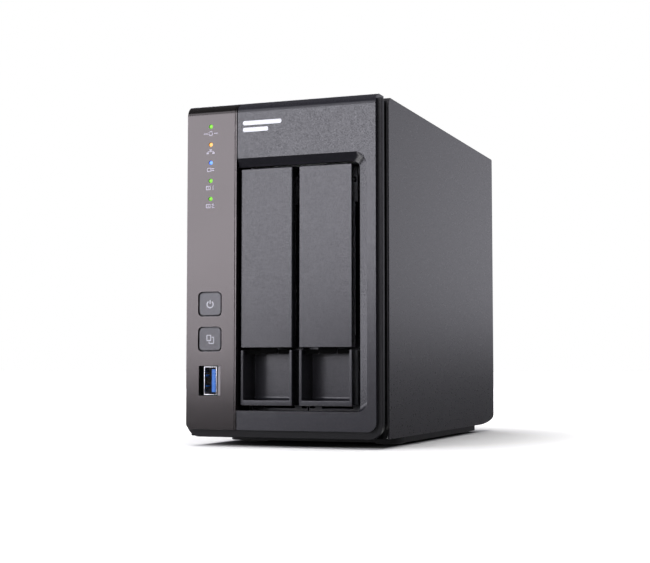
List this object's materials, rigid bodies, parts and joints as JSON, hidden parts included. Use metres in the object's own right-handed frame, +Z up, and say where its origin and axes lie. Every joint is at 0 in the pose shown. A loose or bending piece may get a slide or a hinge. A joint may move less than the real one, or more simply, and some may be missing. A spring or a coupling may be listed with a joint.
{
  "type": "network attached storage",
  "caption": "Desktop network storage unit: steel cover, moulded front with indicator strip, pull-out drive trays with hinged levers, rear fan and sockets.",
  "frame": {"origin": "on the floor under the middle of the case", "axes": "+X to the right seen from the front, front faces -Y, +Z up"},
  "size_m": [0.102, 0.219, 0.1685],
  "materials": {
    "cover_paint": "fine powder coat, satin",
    "front_grey": "fine spark-eroded texture",
    "strip_mauve": "metallic satin",
    "frame_black": "satin black",
    "tray_plastic": "fine spark-eroded texture",
    "button_plastic": "satin",
    "clear_guide": "clear moulded",
    "steel_sheet": "zinc-coated sheet",
    "panel_paint": "matt black",
    "screw_steel": "nickel-plated",
    "socket_metal": "bright plated shell",
    "usb_blue": "blue moulded",
    "contact_gold": "gold-plated",
    "board_green": "solder mask over copper",
    "chip_black": "moulded epoxy",
    "black_plastic": "moulded",
    "fin_aluminium": "extruded",
    "cast_aluminium": "cast and machined",
    "lid_steel": "brushed",
    "brass_post": "turned",
    "winding": "enamelled copper wire on laminations",
    "bronze": "sintered",
    "spring_steel": "hard drawn",
    "foot_rubber": "moulded",
    "cable_skin": "soft sheath",
    "ribbon_grey": "ribbon sheath"
  },
  "bodies": {
    "case": {"outer_cover": "cover_paint", "base_pan": "steel_sheet", "base_plinth": "frame_black", "rubber_feet": "foot_rubber", "rear_panel": "panel_paint", "front_frame": "frame_black", "front_plate": "front_grey", "indicator_strip": "strip_mauve", "light_guides": "clear_guide", "front_board": "board_green", "tact_switches": "black_plastic", "front_usb_shell": "socket_metal", "front_usb_tongue": "usb_blue", "front_usb_contacts": "contact_gold", "drive_cage": "steel_sheet", "cage_screws": "screw_steel", "tray_guides": "black_plastic", "backplane": "board_green", "drive_sockets": "black_plastic", "riser_socket": "black_plastic", "main_board": "board_green", "board_standoffs": "brass_post", "board_screws": "screw_steel", "heat_sink": "fin_aluminium", "board_chips": "chip_black", "memory_module": "board_green", "coin_cell": "socket_metal", "board_sockets": "black_plastic", "usb_ports": "socket_metal", "usb_tongues": "usb_blue", "video_port": "socket_metal", "lan_ports": "socket_metal", "power_jack": "black_plastic", "fan_frame": "black_plastic", "fan_bearing": "bronze", "fan_stator": "winding", "fan_cable": "cable_skin", "front_cable": "ribbon_grey", "fan_screws": "screw_steel", "cover_screws": "screw_steel"},
    "power_button": {"power_button": "button_plastic"},
    "copy_button": {"copy_button": "button_plastic"},
    "reset_button": {"reset_button": "black_plastic"},
    "fan_rotor": {"fan_rotor": "black_plastic"},
    "tray_left": {"tray_left": "tray_plastic", "lever_pin_left": "screw_steel", "lever_spring_left": "spring_steel", "drive_screws_left": "screw_steel", "drive_casting_left": "cast_aluminium", "drive_lid_left": "lid_steel", "drive_board_left": "board_green"},
    "lever_left": {"lever_left": "tray_plastic"},
    "tray_right": {"tray_right": "tray_plastic", "lever_pin_right": "screw_steel", "lever_spring_right": "spring_steel", "drive_screws_right": "screw_steel", "drive_casting_right": "cast_aluminium", "drive_lid_right": "lid_steel", "drive_board_right": "board_green"},
    "lever_right": {"lever_right": "tray_plastic"}
  },
  "joints": [
    {"name": "tray_left_slide", "type": "slide", "parent": "case", "child": "tray_left", "axis": [0, -1, 0], "range_m": [0, 0.15]},
    {"name": "lever_left_hinge", "type": "hinge", "parent": "tray_left", "child": "lever_left", "pos_m": [-0.0087, -0.1013, 0.1285], "axis": [-1, 0, 0], "range_deg": [0, 75]},
    {"name": "tray_right_slide", "type": "slide", "parent": "case", "child": "tray_right", "axis": [0, -1, 0], "range_m": [0, 0.15]},
    {"name": "lever_right_hinge", "type": "hinge", "parent": "tray_right", "child": "lever_right", "pos_m": [0.022, -0.1013, 0.1285], "axis": [-1, 0, 0], "range_deg": [0, 75]},
    {"name": "power_button_press", "type": "slide", "parent": "case", "child": "power_button", "axis": [0, 1, 0], "range_m": [0, 0.0008]},
    {"name": "copy_button_press", "type": "slide", "parent": "case", "child": "copy_button", "axis": [0, 1, 0], "range_m": [0, 0.0008]},
    {"name": "reset_button_press", "type": "slide", "parent": "case", "child": "reset_button", "axis": [0, -1, 0], "range_m": [0, 0.0005]},
    {"name": "fan_spin", "type": "hinge", "parent": "case", "child": "fan_rotor", "pos_m": [0.00665, 0.0945, 0.082], "axis": [0, 1, 0], "continuous": true}
  ]
}
